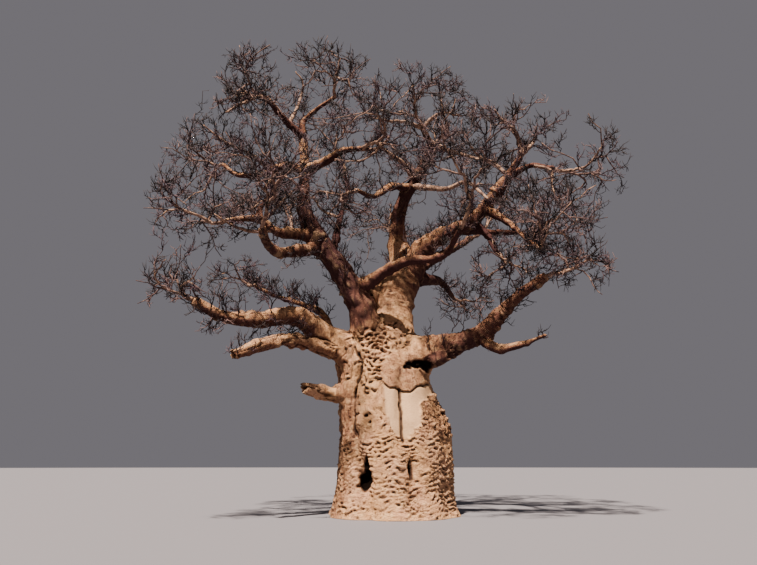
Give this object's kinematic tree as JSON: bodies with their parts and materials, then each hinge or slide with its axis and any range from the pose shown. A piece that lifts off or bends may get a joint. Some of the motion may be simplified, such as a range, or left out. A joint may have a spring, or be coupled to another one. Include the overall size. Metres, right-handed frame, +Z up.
{
  "type": "baobab tree",
  "caption": "Great bare baobab: a fluted, swollen trunk, stout spreading forks and boughs, a few broken stubs, and open masses of fine crooked twigs.",
  "frame": {"origin": "middle of the flat cut at ground level, under the trunk", "axes": "+Z up along the trunk, -Y towards the side with the two smooth bark panels, +X to the right when that side is faced"},
  "size_m": [16.8063, 14.5609, 16.9055],
  "materials": {
    "trunk_bark": "matt, folded grey-pink bark with smooth pale panels and rough brown columns",
    "limb_bark": "matt reddish-brown bark, rougher and darker than the trunk's",
    "twigs": "matt dark purplish-brown twigs with no leaves"
  },
  "bodies": {
    "root": {"trunk": "trunk_bark", "fork_left": "limb_bark", "column_left": "limb_bark", "bough_left_top": "limb_bark", "bough_top": "limb_bark", "bough_cross": "limb_bark", "bough_left_upper": "limb_bark", "bough_left_mid": "limb_bark", "bough_left_riser": "limb_bark", "bough_left_elbow": "limb_bark", "bough_back_left": "limb_bark", "bough_mid_riser": "limb_bark", "bough_left_low": "limb_bark", "bough_left_broken": "limb_bark", "stub_left": "limb_bark", "bough_left_thin": "limb_bark", "fork_right": "trunk_bark", "bough_centre": "limb_bark", "bough_centre_top": "limb_bark", "bough_mid_left": "limb_bark", "bough_back_top": "limb_bark", "bough_right_up": "limb_bark", "bough_right_reach": "limb_bark", "bough_right_tip": "limb_bark", "bough_right_hang": "limb_bark", "bough_right_out": "limb_bark", "bough_right_back": "limb_bark", "bough_back_right": "limb_bark", "bough_right_behind": "limb_bark", "bough_front": "limb_bark", "fork_back": "limb_bark", "bough_back": "limb_bark", "bough_right_low": "limb_bark", "bough_right_rise": "limb_bark", "bough_right_dead": "limb_bark", "stub_right": "limb_bark", "mass_left_low": "twigs", "mass_left_mid": "twigs", "mass_left_riser": "twigs", "mass_left_front": "twigs", "mass_left_upper": "twigs", "mass_left_top": "twigs", "mass_top": "twigs", "mass_cross": "twigs", "mass_left_thin": "twigs", "mass_centre": "twigs", "mass_mid_left": "twigs", "mass_mid_riser": "twigs", "mass_back_left": "twigs", "mass_right_top": "twigs", "mass_right_tip": "twigs", "mass_right_hang": "twigs", "mass_right_out": "twigs", "mass_right_back": "twigs", "mass_right_low": "twigs", "mass_right_behind": "twigs", "mass_back_right": "twigs", "mass_back_top": "twigs", "mass_back": "twigs", "mass_front": "twigs"}
  },
  "joints": []
}
